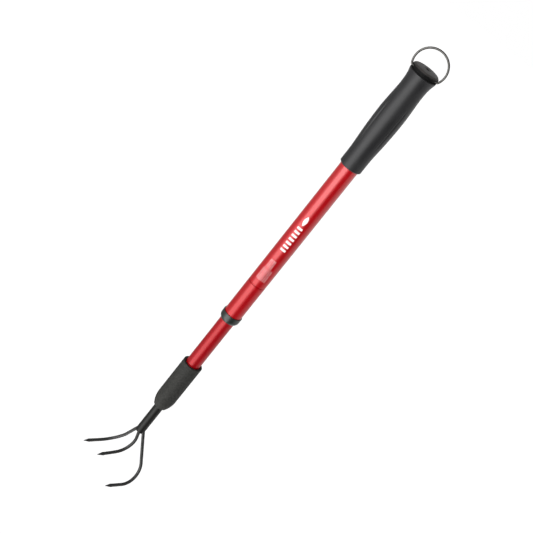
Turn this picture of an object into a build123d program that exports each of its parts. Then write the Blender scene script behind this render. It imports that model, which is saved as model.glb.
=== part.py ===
from build123d import *
import math
import os

# Extendable hand cultivator: three curved tines on a telescoping twist-lock handle.
# Millimetres. The tool stands along Z with the grip up and the tines down.
# The origin is the top of the hang ring's eye, where the tool hangs on a hook.

os.makedirs("parts", exist_ok=True)

# ---------------------------------------------------------------- driving dimensions

running_gap = 0.05            # radial clearance of everything that slides or turns

# hang ring: a wire bail that swings on its two inturned ends
ring_wire = 2.4
ring_radius = 18.8            # to the middle of the wire
ring_drop = 9.6               # from the ring's centre down to its pivot
ring_corner = 3.0             # bend between the hoop and each inturned end
ring_end_x = 7.0              # where each inturned end stops
ring_end_play = 0.5

# end cap: a button with a rounded shoulder, standing clear of the grip on a narrower neck
cap_radius = 16.1
cap_above_pivot = 5.7
cap_face_radius = 12.3        # gently crowned face inside the shoulder
cap_crown = 0.6
cap_thickness = 3.6
cap_edge = 0.5
cap_neck_radius = 13.9
cap_neck_gap = 3.1
cap_plug_length = 11.0
cap_plug_above_tube = 3.0
cap_hole_radius = 2.0
cap_hole_depth = 6.0
cap_hole_rim = 0.4

# rubber grip
grip_length = 131.1           # cap top to the grip's lower edge
grip_rim_radius = 16.5
grip_rim_edge = 1.0
grip_neck_radius = 13.95
grip_palm_radius = 15.25
grip_waist_radius = 14.25
grip_end_radius = 13.25
grip_end_edge = 0.7
band_height = 6.4             # raised band at the grip's lower edge
band_groove = 0.6
flute_radius = 2.6
flute_depth = 0.75
flute_low = 20.0              # the flutes fade out at these heights above the grip's lower edge,
flute_high = 92.0             # where the grip has these radii
flute_low_radius = 13.5
flute_high_radius = 14.7
notch_clearance = 0.5
notch_radius = 3.5            # room in the rims for the hang ring's bends
notch_start = 15.1
notch_length = 8.0

# tubes and the collar between them
outer_radius = 11.0
outer_wall = 1.2
outer_exposed = 222.0
stop_groove_depth = 0.8          # on the tube's outside
stop_bead_height = 0.5           # of the bead that the groove raises in the bore
stop_groove_width = 2.4
stop_groove_above_collar = 48.8
collar_radius = 12.1
collar_length = 10.4
collar_cone = 5.0             # height of the rounded cone at its lower end
collar_foot_radius = 10.1
collar_cone_bulge = 0.42
collar_edge = 0.3
collar_throat_gap = 0.3
collar_floor = 3.0
bush_length = 30.0
inner_radius = 9.0
inner_wall = 1.0
inner_exposed = 73.6

# twist lock inside the upper tube
lock_reach = 218.9            # inner tube's top end above the collar's top
plug_length = 22.0
plug_flange = 3.0
washer_thickness = 1.0
sleeve_length = 26.0
sleeve_bore_radius = 3.9
sleeve_slot = 3.0
sleeve_rib_pitch = 5.0
sleeve_rib_gap = 2.0          # grooves between the ribs that bite on the tube
sleeve_rib_depth = 0.5
taper_length = 16.0
taper_small_radius = 4.5
taper_large_radius = 7.5
wedge_length = 16.0
wedge_set_in = 2.0            # how far the wedge starts above the taper's small end
wedge_key_inset = 1.0
wedge_key_play = 0.3
screw_past_wedge = 3.0
screw_radius = 3.0
screw_engagement = 13.0
screw_head_flats = 10.0
screw_head_height = 4.0
screw_head_chamfer = 0.6
washer_play = 0.3

# ferrule and shank
ferrule_radius = 12.35
ferrule_length = 72.4
ferrule_shoulder = 14.2
ferrule_end_radius = 8.7
ferrule_end_edge = 0.8
ferrule_cheek_radius = 11.25  # the shoulder's arc passes here
ferrule_cheek_height = 7.6
ferrule_rim_edge = 0.4
ferrule_mouth_radius = 9.8
ferrule_mouth_depth = 3.0
tube_in_ferrule = 51.0
core_length = 41.0
core_flange = 4.0
shank_radius = 5.8
shank_in_core = 31.0
shank_exposed = 46.8
pin_radius = 2.0
pin_below_rim = 33.0
pin_bore_radius = 1.0
pin_recess = 0.4
shank_end_rounding = 2.2
shank_top_chamfer = 0.8

# tines: round rod with flattened spear points
head_turn = -38.7             # the tines' pointing direction, turned from -Y about Z
rod_radius = 2.0
point_length = 7.4
point_swell = 2.4
point_half_width = 2.35
point_half_height = 1.75
point_tip_half_width = 0.35
point_tip_half_height = 0.25
outer_splay = 27.5
outer_lean_back = 15.7
outer_leg = 45.8
outer_bend = 22.5
outer_droop = 6.8
outer_run = 23.2
outer_root_x = 2.76
outer_root_up = 7.5
middle_lean_back = 18.3
middle_leg = 17.3
middle_bend = 20.9
middle_droop = 13.6
middle_run = 24.8
middle_root_forward = 1.55
middle_root_up = 4.1

# ---------------------------------------------------------------- heights worked out from them

wire = ring_wire / 2
ring_height = wire - ring_radius
pivot_height = ring_height - ring_drop
cap_top = pivot_height + cap_above_pivot
cap_bottom = cap_top - cap_thickness
grip_top = cap_bottom - cap_neck_gap
grip_bottom = cap_top - grip_length
tube_top = grip_top - cap_plug_above_tube
plug_bottom = tube_top - cap_plug_length
collar_top = grip_bottom - outer_exposed
collar_bottom = collar_top - collar_length
tube_bottom = collar_bottom + collar_floor
bore_radius = outer_radius - outer_wall
groove_height = collar_top + stop_groove_above_collar
ferrule_top = collar_bottom - inner_exposed
ferrule_bottom = ferrule_top - ferrule_length
inner_bore = inner_radius - inner_wall
inner_top = collar_top + lock_reach
inner_bottom = ferrule_top - tube_in_ferrule
washer_bottom = inner_top + plug_flange
sleeve_bottom = washer_bottom + washer_thickness + 2 * running_gap
sleeve_top = sleeve_bottom + sleeve_length
wedge_bottom = sleeve_top - taper_length + wedge_set_in
wedge_top = wedge_bottom + wedge_length
head_bottom = wedge_top + screw_past_wedge
core_bottom = inner_bottom - core_flange
shank_top = inner_bottom + shank_in_core
shank_bottom = ferrule_bottom - shank_exposed
pin_height = ferrule_top - pin_below_rim

# ---------------------------------------------------------------- handle

with BuildPart() as outer_tube:
    half = stop_groove_width / 2
    with BuildSketch(Plane.XZ):
        with BuildLine():
            Polyline((outer_radius, groove_height - half), (outer_radius, tube_bottom),
                     (bore_radius, tube_bottom), (bore_radius, groove_height - half))
            ThreePointArc((bore_radius, groove_height - half),
                          (bore_radius - stop_bead_height, groove_height),
                          (bore_radius, groove_height + half))
            Polyline((bore_radius, groove_height + half), (bore_radius, tube_top), (outer_radius, tube_top),
                     (outer_radius, groove_height + half))
            ThreePointArc((outer_radius, groove_height + half),
                          (outer_radius - stop_groove_depth, groove_height),
                          (outer_radius, groove_height - half))
        make_face()
    revolve(axis=Axis.Z)
outer_tube.part.label = "outer_tube"
export_step(outer_tube.part, "parts/outer_tube.step")

with BuildPart() as grip:
    with BuildSketch(Plane.XZ):
        with BuildLine():
            side = Spline((grip_end_radius, grip_bottom + grip_end_edge),
                          (grip_end_radius, grip_bottom + 17), (grip_waist_radius, grip_bottom + 35),
                          (grip_palm_radius, grip_bottom + 60),
                          (grip_palm_radius, grip_bottom + 77), (grip_neck_radius, grip_bottom + 106),
                          (grip_rim_radius, grip_top - grip_rim_edge), tangents=((0, 1), (0.35, 1)))
            RadiusArc(side @ 1, (grip_rim_radius - grip_rim_edge, grip_top), -grip_rim_edge)
            Polyline((grip_rim_radius - grip_rim_edge, grip_top), (cap_neck_radius, grip_top),
                     (cap_neck_radius, tube_top), (outer_radius, tube_top),
                     (outer_radius, grip_bottom), (grip_end_radius - grip_end_edge, grip_bottom), side @ 0)
        make_face()
    revolve(axis=Axis.Z)
    # a shallow groove sets off the band at the lower edge
    with BuildSketch(Plane.XZ):
        with Locations((grip_end_radius + band_groove / 3, grip_bottom + band_height)):
            Circle(band_groove)
    revolve(axis=Axis.Z, mode=Mode.SUBTRACT)
    # four long flutes bound the palm panels and fade out at both ends
    for flute_angle in (45, 135, 225, 315):
        flute_plane = Plane(origin=(0, 0, 0), x_dir=Vector(1, 0, 0).rotate(Axis.Z, flute_angle),
                            z_dir=Vector(0, 1, 0).rotate(Axis.Z, flute_angle + 180))
        with BuildLine(flute_plane):
            groove_path = ThreePointArc((flute_low_radius + flute_radius, grip_bottom + flute_low),
                                        (grip_palm_radius + flute_radius - flute_depth,
                                         grip_bottom + (flute_low + flute_high) / 2),
                                        (flute_high_radius + flute_radius, grip_bottom + flute_high))
        with BuildSketch(Plane(origin=groove_path @ 0, z_dir=groove_path % 0)):
            Circle(flute_radius)
        sweep(path=groove_path, mode=Mode.SUBTRACT)
    # notches in the rim let the ring's inturned ends swing
    for side_sign in (-1, 1):
        outward = Plane(origin=(0, 0, pivot_height), z_dir=(side_sign, 0, 0))
        with BuildSketch(outward.offset(cap_neck_radius - running_gap)):
            Circle(wire + notch_clearance)
        extrude(amount=notch_length, mode=Mode.SUBTRACT)
        with BuildSketch(outward.offset(notch_start)):
            Circle(notch_radius)
        extrude(amount=notch_length, mode=Mode.SUBTRACT)
grip.part.label = "grip"
export_step(grip.part, "parts/grip.step")

with BuildPart() as end_cap:
    shoulder_height = cap_thickness - cap_crown - cap_edge
    shoulder_width = cap_radius - cap_face_radius
    with BuildSketch(Plane.XZ):
        with BuildLine():
            Polyline((0, cap_top), (0, plug_bottom), (bore_radius, plug_bottom), (bore_radius, tube_top),
                     (cap_neck_radius, tube_top), (cap_neck_radius, cap_bottom),
                     (cap_radius - cap_edge, cap_bottom))
            RadiusArc((cap_radius - cap_edge, cap_bottom), (cap_radius, cap_bottom + cap_edge), -cap_edge)
            ThreePointArc((cap_radius, cap_bottom + cap_edge),
                          (cap_face_radius + 0.72 * shoulder_width,
                           cap_bottom + cap_edge + 0.62 * shoulder_height),
                          (cap_face_radius, cap_top - cap_crown))
            ThreePointArc((cap_face_radius, cap_top - cap_crown),
                          (cap_face_radius / 2, cap_top - cap_crown / 4), (0, cap_top))
        make_face()
    revolve(axis=Axis.Z)
    # blind hole with a small sunk rim in the middle of the face
    with BuildSketch(Plane.XY.offset(cap_top)):
        Circle(cap_hole_radius)
    extrude(amount=-cap_hole_depth, mode=Mode.SUBTRACT)
    with BuildSketch(Plane.XY.offset(cap_top)):
        Circle(2 * cap_hole_radius)
    extrude(amount=-cap_hole_rim, mode=Mode.SUBTRACT)
    for side_sign in (-1, 1):
        outward = Plane(origin=(0, 0, pivot_height), z_dir=(side_sign, 0, 0))
        with BuildSketch(outward.offset(ring_end_x - ring_end_play)):
            Circle(wire + running_gap)
        extrude(amount=cap_neck_radius, mode=Mode.SUBTRACT)
        with BuildSketch(outward.offset(notch_start)):
            Circle(notch_radius)
        extrude(amount=notch_length, mode=Mode.SUBTRACT)
end_cap.part.label = "end_cap"
export_step(end_cap.part, "parts/end_cap.step")

# the bend's centre sits where an arc of ring_corner meets the hoop and the level inturned end
corner_x = math.sqrt((ring_radius - ring_corner) ** 2 - (ring_drop - ring_corner) ** 2)
with BuildPart() as hang_ring:
    with BuildLine(Plane.XZ):
        bend = Vector(corner_x, pivot_height + ring_corner)
        from_centre = (bend - Vector(0, ring_height)).normalized()
        meet = bend + from_centre * ring_corner
        bend_middle = bend + (from_centre + Vector(0, -1)).normalized() * ring_corner
        Line((-ring_end_x, pivot_height), (-corner_x, pivot_height))
        ThreePointArc((-corner_x, pivot_height), (-bend_middle.X, bend_middle.Y), (-meet.X, meet.Y))
        ThreePointArc((-meet.X, meet.Y), (0, ring_height + ring_radius), (meet.X, meet.Y))
        ThreePointArc((meet.X, meet.Y), (bend_middle.X, bend_middle.Y), (corner_x, pivot_height))
        Line((corner_x, pivot_height), (ring_end_x, pivot_height))
    with BuildSketch(Plane(origin=(-ring_end_x, 0, pivot_height), z_dir=(-1, 0, 0))):
        Circle(wire)
    sweep()
hang_ring.part.label = "hang_ring"
export_step(hang_ring.part, "parts/hang_ring.step")

with BuildPart() as guide_collar:
    throat_radius = inner_radius + collar_throat_gap
    with BuildSketch(Plane.XZ):
        with BuildLine():
            Polyline((collar_foot_radius, collar_bottom), (throat_radius, collar_bottom),
                     (throat_radius, tube_bottom), (outer_radius, tube_bottom), (outer_radius, collar_top),
                     (collar_radius - collar_edge, collar_top))
            RadiusArc((collar_radius - collar_edge, collar_top),
                      (collar_radius, collar_top - collar_edge), collar_edge)
            Line((collar_radius, collar_top - collar_edge), (collar_radius, collar_bottom + collar_cone))
            ThreePointArc((collar_radius, collar_bottom + collar_cone),
                          ((collar_radius + collar_foot_radius) / 2 + collar_cone_bulge,
                           collar_bottom + collar_cone * 0.42),
                          (collar_foot_radius, collar_bottom))
        make_face()
    revolve(axis=Axis.Z)
guide_collar.part.label = "guide_collar"
export_step(guide_collar.part, "parts/guide_collar.step")

with BuildPart() as guide_bush:
    with BuildSketch(Plane.XY.offset(tube_bottom)):
        Circle(bore_radius)
        Circle(inner_radius + running_gap, mode=Mode.SUBTRACT)
    extrude(amount=bush_length)
guide_bush.part.label = "guide_bush"
export_step(guide_bush.part, "parts/guide_bush.step")

# ---------------------------------------------------------------- twist lock

with BuildPart() as lock_plug:
    with BuildSketch(Plane.XY.offset(inner_top - plug_length)):
        Circle(inner_bore)
    extrude(amount=plug_length)
    with BuildSketch(Plane.XY.offset(inner_top)):
        Circle(inner_radius)
    extrude(amount=plug_flange)
    with BuildSketch(Plane.XY.offset(washer_bottom)):
        Circle(screw_radius)
    extrude(amount=-(plug_flange + screw_engagement), mode=Mode.SUBTRACT)
lock_plug.part.label = "lock_plug"
export_step(lock_plug.part, "parts/lock_plug.step")

with BuildPart() as lock_screw:
    with BuildSketch(Plane.XY.offset(inner_top - screw_engagement)):
        Circle(screw_radius)
    extrude(amount=head_bottom - inner_top + screw_engagement)
    with BuildSketch(Plane.XY.offset(head_bottom)):
        RegularPolygon(screw_head_flats / 2, 6, major_radius=False)
    extrude(amount=screw_head_height)
    chamfer(lock_screw.faces().sort_by(Axis.Z)[-1].edges(), screw_head_chamfer)
lock_screw.part.label = "lock_screw"
export_step(lock_screw.part, "parts/lock_screw.step")

with BuildPart() as thrust_washer:
    with BuildSketch(Plane.XY.offset(washer_bottom)):
        Circle(inner_radius)
        Circle(screw_radius + washer_play, mode=Mode.SUBTRACT)
    extrude(amount=washer_thickness)
thrust_washer.part.label = "thrust_washer"
export_step(thrust_washer.part, "parts/thrust_washer.step")

with BuildPart() as lock_sleeve:
    sleeve_radius = bore_radius - running_gap
    with BuildSketch(Plane.XZ):
        with BuildLine():
            Polyline((sleeve_bore_radius, sleeve_bottom), (sleeve_radius, sleeve_bottom),
                     (sleeve_radius, sleeve_top), (taper_large_radius, sleeve_top),
                     (taper_small_radius, sleeve_top - taper_length),
                     (sleeve_bore_radius, sleeve_top - taper_length), close=True)
        make_face()
    revolve(axis=Axis.Z)
    for groove in range(1, 5):
        with BuildSketch(Plane.XY.offset(sleeve_bottom + groove * sleeve_rib_pitch - sleeve_rib_gap / 2)):
            Circle(bore_radius)
            Circle(sleeve_radius - sleeve_rib_depth, mode=Mode.SUBTRACT)
        extrude(amount=sleeve_rib_gap, mode=Mode.SUBTRACT)
    # the slot lets the sleeve spring open and keeps the wedge from turning
    with BuildSketch(Plane.XY.offset(sleeve_bottom)):
        with Locations((bore_radius / 2, 0)):
            Rectangle(bore_radius, sleeve_slot)
    extrude(amount=sleeve_length, mode=Mode.SUBTRACT)
lock_sleeve.part.label = "lock_sleeve"
export_step(lock_sleeve.part, "parts/lock_sleeve.step")

with BuildPart() as wedge_nut:
    slope = (taper_large_radius - taper_small_radius) / taper_length
    wedge_small = taper_small_radius + wedge_set_in * slope - running_gap
    wedge_large = wedge_small + wedge_length * slope
    with BuildSketch(Plane.XZ):
        with BuildLine():
            Polyline((screw_radius + running_gap, wedge_bottom), (wedge_small, wedge_bottom),
                     (wedge_large, wedge_top), (screw_radius + running_gap, wedge_top), close=True)
        make_face()
    revolve(axis=Axis.Z)
    # key that rides in the sleeve's slot
    with BuildSketch(Plane.XY.offset(wedge_bottom + wedge_key_inset)):
        with Locations(((screw_radius + sleeve_radius) / 2, 0)):
            Rectangle(sleeve_radius - screw_radius - 2 * wedge_key_inset, sleeve_slot - 2 * wedge_key_play)
    extrude(amount=wedge_length - 2 * wedge_key_inset)
wedge_nut.part.label = "wedge_nut"
export_step(wedge_nut.part, "parts/wedge_nut.step")

# ---------------------------------------------------------------- lower tube and head

with BuildPart() as inner_tube:
    with BuildSketch(Plane.XY.offset(inner_bottom)):
        Circle(inner_radius)
        Circle(inner_bore, mode=Mode.SUBTRACT)
    extrude(amount=inner_top - inner_bottom)
    with BuildSketch(Plane(origin=(0, -inner_radius, pin_height), z_dir=(0, 1, 0))):
        Circle(pin_radius)
    extrude(amount=2 * inner_radius, mode=Mode.SUBTRACT)
inner_tube.part.label = "inner_tube"
export_step(inner_tube.part, "parts/inner_tube.step")

with BuildPart() as shank_core:
    with BuildSketch(Plane.XY.offset(inner_bottom)):
        Circle(inner_bore)
    extrude(amount=core_length)
    with BuildSketch(Plane.XY.offset(core_bottom)):
        Circle(inner_radius)
    extrude(amount=core_flange)
    with BuildSketch(Plane.XY.offset(core_bottom)):
        Circle(shank_radius)
    extrude(amount=shank_top - core_bottom, mode=Mode.SUBTRACT)
    with BuildSketch(Plane(origin=(0, -inner_radius, pin_height), z_dir=(0, 1, 0))):
        Circle(pin_radius)
    extrude(amount=2 * inner_radius, mode=Mode.SUBTRACT)
shank_core.part.label = "shank_core"
export_step(shank_core.part, "parts/shank_core.step")

with BuildPart() as shank_pin:
    with BuildSketch(Plane(origin=(0, -inner_radius + pin_recess, pin_height), z_dir=(0, 1, 0))):
        Circle(pin_radius)
        Circle(pin_bore_radius, mode=Mode.SUBTRACT)
    extrude(amount=2 * (inner_radius - pin_recess))
shank_pin.part.label = "shank_pin"
export_step(shank_pin.part, "parts/shank_pin.step")

with BuildPart() as ferrule:
    with BuildSketch(Plane.XZ):
        with BuildLine():
            Polyline((inner_radius, core_bottom), (shank_radius, core_bottom), (shank_radius, ferrule_bottom),
                     (ferrule_end_radius - ferrule_end_edge, ferrule_bottom))
            RadiusArc((ferrule_end_radius - ferrule_end_edge, ferrule_bottom),
                      (ferrule_end_radius, ferrule_bottom + ferrule_end_edge), -ferrule_end_edge)
            ThreePointArc((ferrule_end_radius, ferrule_bottom + ferrule_end_edge),
                          (ferrule_cheek_radius, ferrule_bottom + ferrule_cheek_height),
                          (ferrule_radius, ferrule_bottom + ferrule_shoulder))
            Line((ferrule_radius, ferrule_bottom + ferrule_shoulder),
                 (ferrule_radius, ferrule_top - ferrule_rim_edge))
            RadiusArc((ferrule_radius, ferrule_top - ferrule_rim_edge),
                      (ferrule_radius - ferrule_rim_edge, ferrule_top), -ferrule_rim_edge)
            Polyline((ferrule_radius - ferrule_rim_edge, ferrule_top), (ferrule_mouth_radius, ferrule_top),
                     (ferrule_mouth_radius, ferrule_top - ferrule_mouth_depth),
                     (inner_radius, ferrule_top - ferrule_mouth_depth), (inner_radius, core_bottom))
        make_face()
    revolve(axis=Axis.Z)
ferrule.part.label = "ferrule"
export_step(ferrule.part, "parts/ferrule.step")

# the head's own directions: the way the tines point, across them, and up the shank
forward = Vector(0, -1, 0).rotate(Axis.Z, head_turn)
across = Vector(1, 0, 0).rotate(Axis.Z, head_turn)
up = Vector(0, 0, 1)


def unit(forward_part, across_part, up_part):
    """Unit vector from its parts along the head's own directions."""
    return (forward * forward_part + across * across_part + up * up_part).normalized()


def leg_direction(splay, lean_back, side_sign):
    """Direction in which a tine leaves the shank: down, splayed sideways and leaning back."""
    flat = math.cos(math.radians(lean_back))
    return unit(-math.sin(math.radians(lean_back)), side_sign * flat * math.sin(math.radians(splay)),
                -flat * math.cos(math.radians(splay)))


def point_direction(droop):
    """Direction in which a tine's point faces: forward and slightly down."""
    return unit(math.cos(math.radians(droop)), 0, -math.sin(math.radians(droop)))


outer_root = up * (shank_bottom + outer_root_up)
middle_root = up * (shank_bottom + middle_root_up) + forward * middle_root_forward
tine_lines = {
    "tine_left": (outer_root - across * outer_root_x, leg_direction(outer_splay, outer_lean_back, -1),
                  outer_leg, outer_bend, point_direction(outer_droop), outer_run),
    "tine_center": (middle_root, leg_direction(0, middle_lean_back, 1),
                    middle_leg, middle_bend, point_direction(middle_droop), middle_run),
    "tine_right": (outer_root + across * outer_root_x, leg_direction(outer_splay, outer_lean_back, 1),
                   outer_leg, outer_bend, point_direction(outer_droop), outer_run),
}
tines = {}
for tine_name, (root, leg, leg_length, bend_radius, facing, run_length) in tine_lines.items():
    tangent = bend_radius * math.tan(math.radians(leg.get_angle(facing)) / 2)
    corner = root + leg * (leg_length + tangent)
    rod_end = corner + facing * (tangent + run_length - point_swell - point_length)
    with BuildPart() as tine:
        with BuildLine() as rod_path:
            FilletPolyline(root, corner, rod_end, radius=bend_radius)
        with BuildSketch(Plane(origin=root, z_dir=leg)):
            Circle(rod_radius)
        sweep(path=rod_path.line)
        swell_start = Plane(origin=rod_end, x_dir=across, z_dir=facing)
        with BuildSketch(swell_start):
            Circle(rod_radius)
        with BuildSketch(swell_start.offset(point_swell)):
            Ellipse(point_half_width, point_half_height)
        loft(ruled=True)
        with BuildSketch(swell_start.offset(point_swell)):
            Ellipse(point_half_width, point_half_height)
        with BuildSketch(swell_start.offset(point_swell + point_length)):
            Ellipse(point_tip_half_width, point_tip_half_height)
        loft(ruled=True)
    tine.part.label = tine_name
    export_step(tine.part, f"parts/{tine_name}.step")
    tines[tine_name] = tine.part

with BuildPart() as shank:
    with BuildSketch(Plane.XY.offset(shank_bottom)):
        Circle(shank_radius)
    extrude(amount=shank_top - shank_bottom)
    fillet(shank.edges().filter_by(GeomType.CIRCLE).sort_by(Axis.Z)[0], shank_end_rounding)
    chamfer(shank.edges().filter_by(GeomType.CIRCLE).sort_by(Axis.Z)[-1], shank_top_chamfer)
    with BuildSketch(Plane(origin=(0, -inner_radius, pin_height), z_dir=(0, 1, 0))):
        Circle(pin_radius)
    extrude(amount=2 * inner_radius, mode=Mode.SUBTRACT)
    for tine_part in tines.values():
        add(tine_part, mode=Mode.SUBTRACT)
shank.part.label = "shank"
export_step(shank.part, "parts/shank.step")
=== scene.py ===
import math

import bmesh
import bpy
from mathutils import Matrix, Vector


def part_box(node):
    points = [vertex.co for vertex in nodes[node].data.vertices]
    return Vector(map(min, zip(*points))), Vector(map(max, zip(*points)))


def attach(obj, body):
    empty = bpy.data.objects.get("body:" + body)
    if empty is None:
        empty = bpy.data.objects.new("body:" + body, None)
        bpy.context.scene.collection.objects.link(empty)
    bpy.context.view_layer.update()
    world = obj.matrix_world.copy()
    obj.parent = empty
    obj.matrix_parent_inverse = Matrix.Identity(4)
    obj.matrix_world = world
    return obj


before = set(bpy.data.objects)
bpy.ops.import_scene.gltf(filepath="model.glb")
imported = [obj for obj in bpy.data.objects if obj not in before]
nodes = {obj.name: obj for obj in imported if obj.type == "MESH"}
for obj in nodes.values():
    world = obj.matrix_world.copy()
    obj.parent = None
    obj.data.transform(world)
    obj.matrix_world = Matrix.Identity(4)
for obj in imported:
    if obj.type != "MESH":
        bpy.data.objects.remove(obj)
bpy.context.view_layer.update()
MM = 0.001


# ---------------------------------------------------------------- node helpers

class Surface:
    """A node material with one Principled shader, and short names for the nodes it is built from."""

    def __init__(self, name, **sockets):
        self.material = bpy.data.materials.new(name)
        self.material.use_nodes = True
        self.tree = self.material.node_tree
        self.shader = self.tree.nodes["Principled BSDF"]
        for socket, value in sockets.items():
            self.shader.inputs[socket.replace("_", " ")].default_value = value
        self.place = self.node("ShaderNodeTexCoord").outputs["Object"]

    def node(self, kind, **settings):
        made = self.tree.nodes.new(kind)
        for key, value in settings.items():
            setattr(made, key, value)
        return made

    def link(self, output, target):
        self.tree.links.new(output, target)

    def stretched(self, x, y, z):
        """Object coordinates scaled by (x, y, z) cells per metre."""
        mapping = self.node("ShaderNodeMapping")
        mapping.inputs["Scale"].default_value = (x, y, z)
        self.link(self.place, mapping.inputs["Vector"])
        return mapping.outputs["Vector"]

    def height(self):
        """Height along the tool's Z axis."""
        parts = self.node("ShaderNodeSeparateXYZ")
        self.link(self.place, parts.inputs[0])
        return parts.outputs["Z"]

    def noise(self, vector, detail=3.0, roughness=0.55):
        made = self.node("ShaderNodeTexNoise")
        made.inputs["Scale"].default_value = 1.0
        made.inputs["Detail"].default_value = detail
        made.inputs["Roughness"].default_value = roughness
        self.link(vector, made.inputs["Vector"])
        return made.outputs["Fac"]

    def cells(self, vector):
        """Distance to the nearest of many scattered points."""
        made = self.node("ShaderNodeTexVoronoi")
        made.inputs["Scale"].default_value = 1.0
        self.link(vector, made.inputs["Vector"])
        return made.outputs["Distance"]

    def levels(self, value, low, high, start, end):
        """Value remapped from low..high to start..end, held at the ends."""
        made = self.node("ShaderNodeMapRange")
        for socket, number in zip(("From Min", "From Max", "To Min", "To Max"), (low, high, start, end)):
            made.inputs[socket].default_value = number
        self.link(value, made.inputs["Value"])
        return made.outputs["Result"]

    def colours(self, value, first, second):
        """Colour between first and second as value goes from 0 to 1."""
        made = self.node("ShaderNodeMix", data_type="RGBA")
        made.inputs["A"].default_value = (*first, 1)
        made.inputs["B"].default_value = (*second, 1)
        self.link(value, made.inputs["Factor"])
        return made.outputs["Result"]

    def blend(self, value, first, second):
        """As colours, but between two colour outputs."""
        made = self.node("ShaderNodeMix", data_type="RGBA")
        for output, socket in zip((value, first, second), ("Factor", "A", "B")):
            self.link(output, made.inputs[socket])
        return made.outputs["Result"]

    def off_axis(self):
        """Distance from the Z axis."""
        flat = self.node("ShaderNodeVectorMath", operation="LENGTH")
        self.link(self.stretched(1, 1, 0), flat.inputs[0])
        return flat.outputs["Value"]

    def bump(self, height, depth, strength, below=None):
        """Bump of the given depth in metres, laid over the bump below it."""
        made = self.node("ShaderNodeBump")
        made.inputs["Distance"].default_value = depth
        made.inputs["Strength"].default_value = strength
        self.link(height, made.inputs["Height"])
        if below:
            self.link(below, made.inputs["Normal"])
        return made.outputs["Normal"]

    def set(self, **links):
        for socket, output in links.items():
            self.link(output, self.shader.inputs[socket.replace("_", " ")])


# ---------------------------------------------------------------- materials

PAINTED_LIGHT_LOW, PAINTED_LIGHT_HIGH = -0.38, -0.15    # heights between which the upper tube's painted light changes: the red brighter and the coat stronger towards the top


def anodised_red(name, red_levels_painted_light, coat_levels_painted_sheen):
    """Drawn aluminium tube, anodised red and sealed glossy, with faint lengthwise lines.
    The first pair gives the red's level and the second the clear layer's strength, at the lower and upper of
    the two heights set above; the red painted brighter and the coat made stronger towards the top are
    painted light, standing in for the light falling stronger near the grip."""
    s = Surface(name, Metallic=0.2, Specular_IOR_Level=0.15, Coat_Roughness=0.15, Coat_IOR=1.6)
    lines = s.noise(s.stretched(2600, 2600, 9), detail=2)
    clouds = s.noise(s.stretched(60, 60, 14), detail=4)
    tone = s.levels(clouds, 0.3, 0.7, 0, 1)
    # painted light: a darker red for low on the tube and a brighter one for high, each with random tone
    # clouds
    low, high = (s.colours(tone, (level, 0.002, 0.005), (1.13 * level, 0.003, 0.008)) for level in red_levels_painted_light)
    # painted light: the red blends by height from the darker to the brighter one, and the coat grows
    # stronger towards the top
    s.set(Base_Color=s.blend(s.levels(s.height(), PAINTED_LIGHT_LOW, PAINTED_LIGHT_HIGH, 0, 1), low, high),
          Roughness=s.levels(lines, 0.3, 0.7, 0.26, 0.38),
          Coat_Weight=s.levels(s.height(), PAINTED_LIGHT_LOW, PAINTED_LIGHT_HIGH, *coat_levels_painted_sheen),
          Normal=s.bump(lines, 0.00001, 0.35))
    return s.material


def rubber():
    """Moulded rubber with a fine leathery grain and handling sheen."""
    s = Surface("grip_rubber", Specular_IOR_Level=0.3)
    grain = s.cells(s.stretched(1700, 1700, 1700))
    fine = s.noise(s.stretched(5200, 5200, 5200), detail=2)
    worn = s.noise(s.stretched(55, 55, 30), detail=4)
    s.set(Base_Color=s.colours(s.levels(worn, 0.3, 0.7, 0, 1), (0.016, 0.016, 0.017), (0.023, 0.023, 0.024)),
          Roughness=s.levels(worn, 0.3, 0.7, 0.34, 0.44),
          Normal=s.bump(fine, 0.00003, 0.35, s.bump(grain, 0.00006, 0.4)))
    return s.material


def moulded(name, dark, light, roughness, grain=1900, depth=0.00006, specular=0.5, blotch=(70, 35)):
    """Moulded plastic with a spark-eroded texture; blotch sets the cells per metre across and along."""
    s = Surface(name, Specular_IOR_Level=specular)
    pits = s.noise(s.stretched(grain, grain, grain), detail=3)
    flow = s.noise(s.stretched(blotch[0], blotch[0], blotch[1]), detail=3)
    s.set(Base_Color=s.colours(s.levels(flow, 0.3, 0.7, 0, 1), dark, light),
          Roughness=s.levels(pits, 0.3, 0.7, roughness - 0.06, roughness + 0.08),
          Normal=s.bump(pits, depth, 0.5))
    return s.material


CAP_HOLE = 2 * MM    # radius of the hole in the cap's middle, painted near black as painted shade


def cap_plastic():
    """Moulded plastic, scuffed pale on its face, with painted shade making it dull and dark round its
    shoulder and in the middle hole.
    """
    s = Surface("cap_plastic")
    pits = s.noise(s.stretched(1900, 1900, 1900), detail=3)
    scuff = s.levels(s.noise(s.stretched(160, 160, 160), detail=5, roughness=0.65), 0.35, 0.7, 0, 1)
    cap_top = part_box("end_cap")[1].z
    # painted shade: the cap is coloured by height; its face keeps the plastic's grey with random scuffs,
    # while the shoulder below is painted near black
    face = s.levels(s.height(), cap_top - 2.7 * MM, cap_top - 1.5 * MM, 0, 1)
    worn = s.colours(scuff, (0.044, 0.040, 0.038), (0.066, 0.060, 0.057))
    shoulder = s.colours(scuff, (0.008, 0.008, 0.008), (0.013, 0.013, 0.013))
    # painted shade: near black for the middle hole
    hole = s.colours(scuff, (0.001, 0.001, 0.001), (0.002, 0.002, 0.002))
    outside_hole = s.levels(s.off_axis(), CAP_HOLE, CAP_HOLE + 0.6 * MM, 0, 1)
    # painted shade: the dark hole and shoulder colours are blended in by their masks, and the shoulder's
    # reflection is turned down
    s.set(Base_Color=s.blend(outside_hole, hole, s.blend(face, shoulder, worn)),
          Specular_IOR_Level=s.levels(face, 0, 1, 0.04, 0.4),
          Roughness=s.levels(pits, 0.3, 0.7, 0.46, 0.6),
          Normal=s.bump(pits, 0.00006, 0.5))
    return s.material


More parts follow.
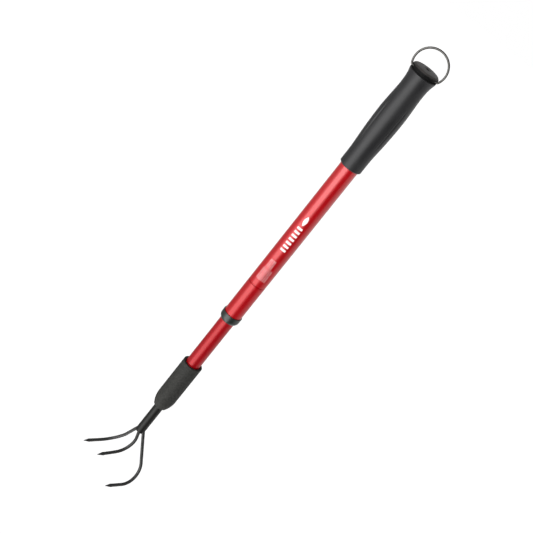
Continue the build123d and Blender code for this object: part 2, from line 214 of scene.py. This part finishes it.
def coated_steel(name, dark, specular, paler_between=None):
    """Steel rod under a thin black coat, slightly orange-peeled, rubbed brighter here and there.
    The last argument gives the heights between which the coat fades to a paler one."""
    s = Surface(name, Specular_IOR_Level=specular)
    peel = s.noise(s.stretched(1500, 1500, 1500), detail=2)
    rub = s.levels(s.noise(s.stretched(240, 240, 160), detail=6, roughness=0.7), 0.62, 0.78, 0, 1)
    coat = s.colours(rub, dark, (0.07, 0.07, 0.066))
    if paler_between:
        # the coat turns paler lower down, between the two heights given
        worn = s.colours(rub, (0.034, 0.034, 0.033), (0.09, 0.09, 0.086))
        coat = s.blend(s.levels(s.height(), *paler_between, 0, 1), coat, worn)
    s.set(Base_Color=coat,
          Metallic=s.levels(rub, 0, 1, 0.0, 0.35),
          Roughness=s.levels(peel, 0.3, 0.7, 0.36, 0.5),
          Normal=s.bump(peel, 0.00005, 0.45))
    return s.material


def bare_metal(name, dark, light, roughness):
    """Bare steel with fine drawing marks."""
    s = Surface(name, Metallic=1.0)
    marks = s.noise(s.stretched(3000, 3000, 500), detail=3)
    stain = s.noise(s.stretched(180, 180, 180), detail=4)
    s.set(Base_Color=s.colours(s.levels(stain, 0.3, 0.7, 0, 1), dark, light),
          Roughness=s.levels(marks, 0.3, 0.7, roughness - 0.07, roughness + 0.08),
          Normal=s.bump(marks, 0.00002, 0.35))
    return s.material


def mark_ink(name, tone, coverage):
    """White printing ink with the metal showing through where the print is thin."""
    s = Surface(name)
    speckle = s.noise(s.stretched(2400, 2400, 2400), detail=3)
    bare = s.levels(speckle, coverage, coverage + 0.08, 0, 1)
    s.set(Base_Color=s.colours(bare, tone, (0.62, 0.06, 0.07)),
          Roughness=s.levels(speckle, 0.3, 0.7, 0.35, 0.5))
    return s.material


# upper tube, with painted light: red and coat brighter and stronger towards the grip
red = anodised_red("anodised_red", (0.385, 0.44), (0.34, 0.95))
# painted shade: a darker, duller copy of the red for the inner tube low on the tool, standing in for the
# weaker light there
lower_red_painted_shade = anodised_red("anodised_red_lower_painted_shade", (0.325, 0.325), (0.24, 0.24))
tine_low, tine_top = (corner.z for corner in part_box("tine_left"))
shank_coat = coated_steel("black_coated_steel", (0.009, 0.009, 0.008), 0.22)
tine_coat = coated_steel("black_coated_tines", (0.016, 0.016, 0.015), 0.4,
                         (tine_top - 15 * MM, tine_low + 12 * MM))
bearing = moulded("bearing_plastic", (0.5, 0.5, 0.47), (0.6, 0.6, 0.57), 0.4)
zinc = bare_metal("zinc_steel", (0.5, 0.51, 0.52), (0.66, 0.66, 0.65), 0.3)
finishes = {
    "outer_tube": red,
    "inner_tube": lower_red_painted_shade,
    "grip": rubber(),
    "end_cap": cap_plastic(),
    "hang_ring": bare_metal("ring_steel", (0.085, 0.083, 0.078), (0.14, 0.137, 0.13), 0.34),
    "guide_collar": moulded("collar_plastic", (0.010, 0.016, 0.014), (0.016, 0.023, 0.020), 0.3,
                            depth=0.00002),
    "ferrule": moulded("ferrule_plastic", (0.017, 0.017, 0.0155), (0.036, 0.036, 0.033), 0.66,
                       grain=900, depth=0.00022, specular=0.22, blotch=(420, 420)),
    "shank": shank_coat,
    "tine_left": tine_coat,
    "tine_center": tine_coat,
    "tine_right": tine_coat,
    "guide_bush": bearing,
    "lock_plug": bearing,
    "lock_sleeve": bearing,
    "wedge_nut": bearing,
    "shank_core": bearing,
    "lock_screw": zinc,
    "thrust_washer": zinc,
    "shank_pin": zinc,
}
for node_name, finish in finishes.items():
    slots = nodes[node_name].data.materials
    slots.clear()
    slots.append(finish)


# ---------------------------------------------------------------- printed marks on the upper tube

tube_low, tube_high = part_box("outer_tube")
tube_radius = (tube_high.x - tube_low.x) / 2
collar_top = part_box("guide_collar")[1].z
INK = 0.05 * MM          # thickness of the print
INK_LIFT = 0.01 * MM     # its gap to the tube


def patch(mesh, bottom, top, left, right, rows=8, columns=6):
    """Thin closed patch of ink on the tube, from bottom to top along Z.
    left and right give its edges, as arc lengths from the tube's front, at a share 0..1 of its height."""
    layers = []
    for radius in (tube_radius + INK_LIFT, tube_radius + INK_LIFT + INK):
        layer = []
        for row in range(rows + 1):
            share = row / rows
            height = bottom + (top - bottom) * share
            line = []
            for column in range(columns + 1):
                arc = left(share) + (right(share) - left(share)) * column / columns
                angle = arc / tube_radius
                line.append(mesh.verts.new((radius * math.sin(angle), -radius * math.cos(angle), height)))
            layer.append(line)
        layers.append(layer)
    under, over = layers
    for row in range(rows):
        for column in range(columns):
            corners = ((row, column), (row, column + 1), (row + 1, column + 1), (row + 1, column))
            mesh.faces.new([over[a][b] for a, b in corners])
            mesh.faces.new([under[a][b] for a, b in reversed(corners)])
    rim = [(0, c) for c in range(columns)] + [(r, columns) for r in range(rows)]
    rim += [(rows, c) for c in range(columns, 0, -1)] + [(r, 0) for r in range(rows, 0, -1)]
    for (a, b), (c, d) in zip(rim, rim[1:] + rim[:1]):
        mesh.faces.new((under[a][b], under[c][d], over[c][d], over[a][b]))


def bar(mesh, bottom, height, centre, width):
    patch(mesh, bottom, bottom + height,
          lambda share: centre - width / 2, lambda share: centre + width / 2)


def leaf(mesh, bottom, height, centre, width):
    """Pointed leaf shape, blunt at both tips."""
    def half(share):
        return width * (0.03 + 0.47 * math.sin(math.pi * share) ** 0.8)
    patch(mesh, bottom, bottom + height,
          lambda share: centre - half(share), lambda share: centre + half(share), rows=18)


def printed(name, ink, draw):
    """Piece of ink on the upper tube, riding with the handle."""
    mesh = bmesh.new()
    draw(mesh)
    bmesh.ops.recalc_face_normals(mesh, faces=mesh.faces)
    data = bpy.data.meshes.new(name)
    mesh.to_mesh(data)
    mesh.free()
    for face in data.polygons:
        face.use_smooth = False
    piece = bpy.data.objects.new(name, data)
    bpy.context.scene.collection.objects.link(piece)
    data.materials.append(ink)
    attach(piece, "handle")


def draw_emblem(mesh):
    """A leaf over a column of even bars."""
    start, centre = collar_top + 102 * MM, -0.6 * MM
    bar_pitch, bar_height, bar_width = 5.3 * MM, 2.7 * MM, 6.6 * MM
    leaf_bottom, leaf_height, leaf_width = start + 37.5 * MM, 12.5 * MM, 4.6 * MM
    for step in range(7):
        bar(mesh, start + step * bar_pitch, bar_height, centre, bar_width)
    leaf(mesh, leaf_bottom, leaf_height, centre, leaf_width)


def panel(mesh, bottom, top, centres):
    """Block of thin bars along the tube, each broken just below or just above its middle.
    Sizes are in millimetres, heights from the collar's top."""
    length, gap, width = top - bottom, 1.3, 0.6
    for line, centre in enumerate(centres):
        cut = length * (0.58 if line % 2 else 0.42)
        for low, high in ((0, cut), (cut + gap, length)):
            bar(mesh, collar_top + (bottom + low) * MM, (high - low) * MM, centre * MM, width * MM)


def draw_label(mesh):
    """Two panels of bars."""
    panel(mesh, 75.4, 87.0, (-4.1, -2.1, 0.1, 1.9))
    panel(mesh, 57.8, 73.7, (-5.3, -3.2, -1.2, 0.9, 3.2, 5.3))


printed("emblem", mark_ink("mark_ink_dense", (0.93, 0.88, 0.89), 0.62), draw_emblem)
printed("care_label", mark_ink("mark_ink_thin", (0.80, 0.55, 0.56), 0.55), draw_label)


# ---------------------------------------------------------------- floor, light and camera

def make_floor():
    """Sheet of pale paper well below the tool. It glows a little, to come out white."""
    drop = 0.5
    bpy.ops.mesh.primitive_plane_add(size=14, location=(0, 0, tine_low - drop))
    floor = bpy.context.object
    floor.name = "floor"
    s = Surface("floor_paper", Roughness=0.9)
    s.shader.inputs["Emission Color"].default_value = (1, 1, 1, 1)
    s.shader.inputs["Emission Strength"].default_value = 0.7
    fibre = s.noise(s.stretched(40, 40, 40), detail=2)
    s.set(Base_Color=s.colours(fibre, (0.93, 0.93, 0.93), (0.96, 0.96, 0.96)))
    floor.data.materials.append(s.material)
    floor.visible_glossy = False


def make_light():
    """A light tent. Its brightness goes by compass direction round the tool, with 0 degrees towards the
    camera and the right positive, times a share by elevation that keeps the light low."""
    tent = ((-180, 1.0), (-150, 0.5), (-112, 0.3), (-84, 0.5), (-60, 1.3), (-42, 4.4), (-8, 4.4),
            (10, 1.0), (24, 0.0), (54, 0.0), (74, 0.7), (104, 0.9), (180, 1.0))
    rise = ((-90, 1.0), (24, 1.0), (38, 0.2), (48, 0.06), (75, 0.06), (90, 0.3))
    brightest = max(level for _, level in tent)
    world = bpy.data.worlds.new("light_tent")
    bpy.context.scene.world = world
    world.use_nodes = True
    tree = world.node_tree
    tree.nodes.clear()

    def node(kind, **settings):
        made = tree.nodes.new(kind)
        for key, value in settings.items():
            setattr(made, key, value)
        return made

    def maths(operation, first, second=None):
        made = node("ShaderNodeMath", operation=operation)
        for value, socket in zip((first, second), made.inputs):
            if isinstance(value, (int, float)):
                socket.default_value = value
            elif value is not None:
                tree.links.new(value, socket)
        return made.outputs[0]

    def ramp(angle, levels, span, highest):
        """Levels by angle in degrees, eased in between and divided by the highest.
        angle is an output in radians, running over span degrees with 0 in the middle."""
        share = node("ShaderNodeMapRange")
        share.inputs["From Min"].default_value = -math.radians(span) / 2
        share.inputs["From Max"].default_value = math.radians(span) / 2
        tree.links.new(angle, share.inputs["Value"])
        made = node("ShaderNodeValToRGB")
        made.color_ramp.interpolation = "EASE"
        stops = made.color_ramp.elements
        while len(stops) > 1:
            stops.remove(stops[-1])
        for index, (degrees, level) in enumerate(levels):
            position = degrees / span + 0.5
            stop = stops[0] if index == 0 else stops.new(position)
            stop.position = position
            stop.color = (level / highest,) * 3 + (1,)
        tree.links.new(share.outputs["Result"], made.inputs["Fac"])
        return made.outputs["Color"]

    parts = node("ShaderNodeSeparateXYZ")
    tree.links.new(node("ShaderNodeTexCoord").outputs["Generated"], parts.inputs[0])
    x, y, z = parts.outputs
    compass = maths("ARCTAN2", x, maths("MULTIPLY", y, -1))
    elevation = maths("ARCSINE", z)
    side = node("ShaderNodeBackground")
    tree.links.new(ramp(compass, tent, 360, brightest), side.inputs["Color"])
    tree.links.new(maths("MULTIPLY", ramp(elevation, rise, 180, 1.0), brightest), side.inputs["Strength"])
    # paper white behind the tool, whatever the tent's panels do
    backdrop = node("ShaderNodeBackground")
    backdrop.inputs["Color"].default_value = (1, 1, 1, 1)
    mix = node("ShaderNodeMixShader")
    tree.links.new(node("ShaderNodeLightPath").outputs["Is Camera Ray"], mix.inputs[0])
    tree.links.new(side.outputs[0], mix.inputs[1])
    tree.links.new(backdrop.outputs[0], mix.inputs[2])
    tree.links.new(mix.outputs[0], node("ShaderNodeOutputWorld").inputs["Surface"])


def make_camera():
    """Long lens, looking down at the tool, rolled so that the tool lies on the picture's diagonal."""
    elevation, roll = math.radians(24.5), math.radians(38.5)
    distance = 1.327
    aim = Vector((-3.5 * MM, 0, collar_top + 70.9 * MM))
    ahead = Vector((0, math.cos(elevation), -math.sin(elevation)))
    right = Vector((1, 0, 0))
    up = right.cross(ahead)
    picture_right = right * math.cos(roll) + up * math.sin(roll)
    picture_up = up * math.cos(roll) - right * math.sin(roll)
    lens = bpy.data.cameras.new("camera")
    lens.sensor_width = 36
    lens.lens = 81.05
    lens.clip_start, lens.clip_end = 0.01, 50
    camera = bpy.data.objects.new("camera", lens)
    bpy.context.scene.collection.objects.link(camera)
    turn = Matrix((picture_right, picture_up, -ahead)).transposed()
    camera.matrix_world = Matrix.Translation(aim - ahead * distance) @ turn.to_4x4()
    bpy.context.scene.camera = camera


make_floor()
make_light()
make_camera()
bpy.context.scene.view_settings.view_transform = "Standard"
